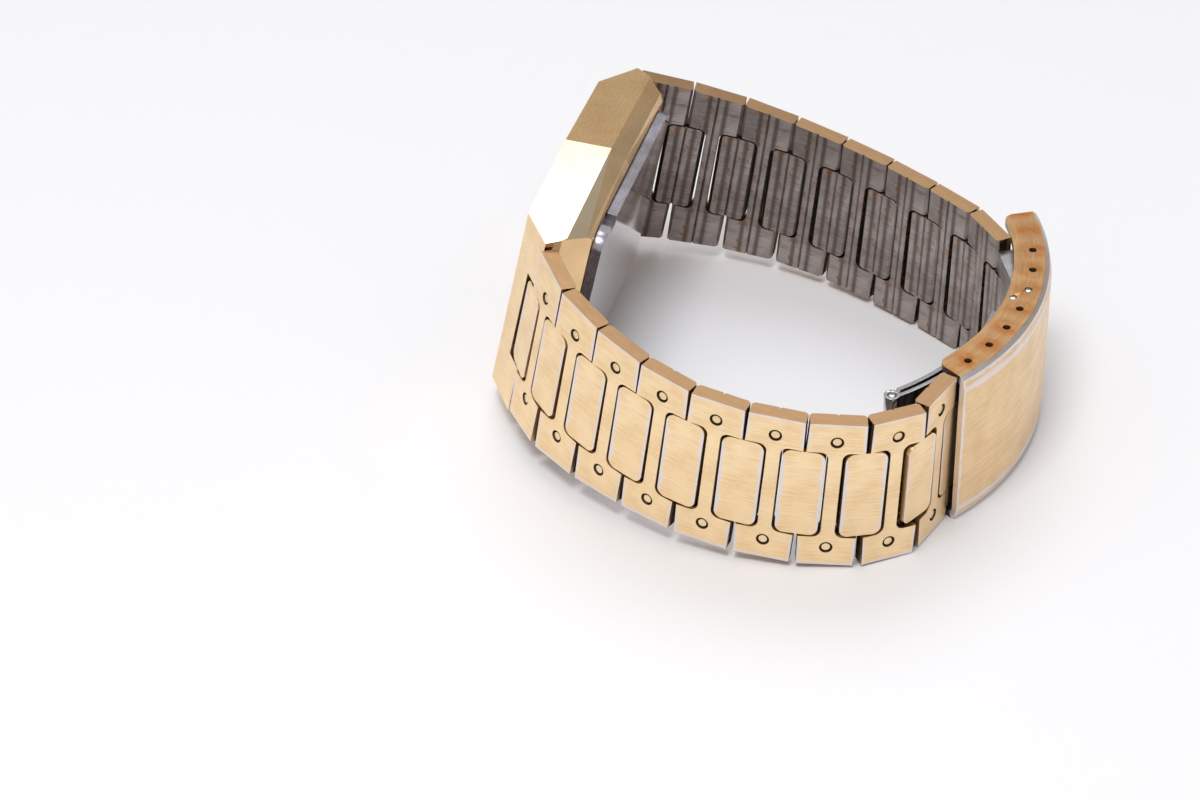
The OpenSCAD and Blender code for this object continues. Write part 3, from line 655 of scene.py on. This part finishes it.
def cover_wall():
    """A side wall: satin gold, tarnished to orange and brown round each adjustment hole."""
    made, tree, shader = new_metal("cover_wall_gold", 0.36)
    place = round_the_curve(tree)
    marks = brush_marks(tree, place)
    stains = blotches(tree, place, 1.6 * mm)
    turns = calc(tree, "DIVIDE", place[0], hole_step)
    past_turn = calc(tree, "SUBTRACT", turns, calc(tree, "ROUND", turns))
    past_hole = calc(tree, "MULTIPLY", past_turn, hole_step)
    from_row = calc(tree, "SUBTRACT", place[1], hole_radius)
    from_hole = measure(tree, "LENGTH", joined(tree, past_hole, from_row))
    near_hole = ramp(tree, from_hole, 0.6 * mm, 2.4 * mm, 1.0, 0.0)
    stained = calc(tree, "MULTIPLY", near_hole, ramp(tree, stains, 0.3, 0.65, 0.2, 1.0))
    gold = mixed(tree, ramp(tree, marks, *noise_span), WALL_GOLD, WALL_GOLD_DEEP)
    feed(tree, shader, "Base Color", mixed(tree, stained, gold, TARNISH))
    feed(tree, shader, "Roughness", ramp(tree, stains, *noise_span, 0.3, 0.42))
    bumped(tree, shader, stains, 0.1, 0.02 * mm)
    return made


cover_finishes = {
    "shell": cover_shell(),
    "wall": cover_wall(),
    "inside": brushed_steel("cover_inside_steel", (0.40, 0.36, 0.32, 1), (0.22, 0.19, 0.17, 1), 0.4),
    # The walls of the holes are painted near black, as painted shade inside them.
    "hole": hollow_grime_and_shade,
}


def cover_slot(middle, normal):
    """Wall, hole, shell or inside, by a face's place and the way it looks."""
    radius = middle.to_2d().length
    outwards = normal.to_2d().dot(middle.to_2d().normalized())
    if abs(middle.z) > cover_half - 0.1 * mm and abs(normal.z) > 0.95:
        return "wall"
    in_wall = abs(middle.z) > cover_half - wall_band and abs(radius - hole_radius) < hole_reach
    if in_wall and abs(normal.z) < 0.3:
        return "hole" if radius < wall_top else "shell"
    at_edge = radius > shell_from and abs(normal.z) < 0.9 and outwards > -0.3
    return "shell" if outwards > 0.3 or at_edge else "inside"


finish(nodes["clasp_cover"], clasp_frame, cover_finishes, cover_slot, 0.08 * mm)

# Folding blades and their pins.
# Two strips of polished steel sheet, hinged to the cover, to each other and to the end of the near
# half. The spring bar and the pins are turned steel.
blade_finish = {"steel": brushed_steel("blade_steel", (0.80, 0.79, 0.79, 1), (0.60, 0.58, 0.57, 1), 0.13)}
for name in ("inner_blade", "outer_blade"):
    finish(nodes[name], clasp_frame, blade_finish, lambda middle, normal: "steel", 0.06 * mm)
for name in ("cover_pin", "knuckle_pin", "end_pin", "clasp_spring_bar"):
    finish(nodes[name], clasp_frame, blade_finish, lambda middle, normal: "steel", 0.08 * mm)

# Table, light and camera.
# A white table under a soft round lamp from above, a little from the front and the left. The
# camera looks down at 37 degrees from 45 cm away, as the photograph was taken.
white, _, white_shader = new_metal("table_white", 0.6)
white_shader.inputs["Metallic"].default_value = 0.0
white_shader.inputs["Base Color"].default_value = (0.93, 0.92, 0.935, 1)
table_half = 3.0
table = bpy.data.objects.new("table_top", bpy.data.meshes.new("table_top"))
shape = bmesh.new()
bmesh.ops.create_grid(shape, x_segments=1, y_segments=1, size=table_half)
shape.to_mesh(table.data)
shape.free()
table.data.materials.append(white)
bpy.context.scene.collection.objects.link(table)

world = bpy.data.worlds.new("studio")
bpy.context.scene.world = world
world.use_nodes = True
sky_tree = world.node_tree
towards = step(sky_tree, "TexCoord").outputs["Generated"]
# The sky is brightest above and in front. A bright panel high behind shows in the case's side
sky_from = (-0.15, -0.55, 0.82)
panel_from = (0, 0.53, 0.85)
panel_strength = 2.4
in_front = measure(sky_tree, "DOT_PRODUCT", towards, sky_from)
above_front = ramp(sky_tree, in_front, -0.25, 0.9, 0.33, 0.58)
in_panel = measure(sky_tree, "DOT_PRODUCT", towards, panel_from)
panel = ramp(sky_tree, in_panel, 0.943, 0.968, 0.0, panel_strength)
sky = sky_tree.nodes["Background"]
sky.inputs["Color"].default_value = (0.97, 0.98, 1.0, 1)
sky_tree.links.new(calc(sky_tree, "ADD", above_front, panel), sky.inputs["Strength"])

window_light = bpy.data.lights.new("window", "AREA")
window_light.energy = 1.7
window_light.shape = "DISK"
window_light.size = 0.25
window = bpy.data.objects.new("window", window_light)
window.location = (-0.10, -0.20, 0.60)
window.rotation_euler = (-window.location).to_track_quat("-Z", "Y").to_euler()
bpy.context.scene.collection.objects.link(window)

photo_aim = Vector((-18.4, -0.3, 0)) * mm
photo_distance = 450 * mm
photo_elevation = math.radians(36.9)
camera = bpy.data.objects.new("camera", bpy.data.cameras.new("camera"))
camera.data.lens = 123
camera.data.sensor_width = 36
camera.data.clip_start = 0.01
back = Vector((0, -math.cos(photo_elevation), math.sin(photo_elevation)))
camera.location = photo_aim + photo_distance * back
camera.rotation_euler = back.to_track_quat("Z", "Y").to_euler()
bpy.context.scene.collection.objects.link(camera)
bpy.context.scene.camera = camera
bpy.context.scene.view_settings.view_transform = "Standard"
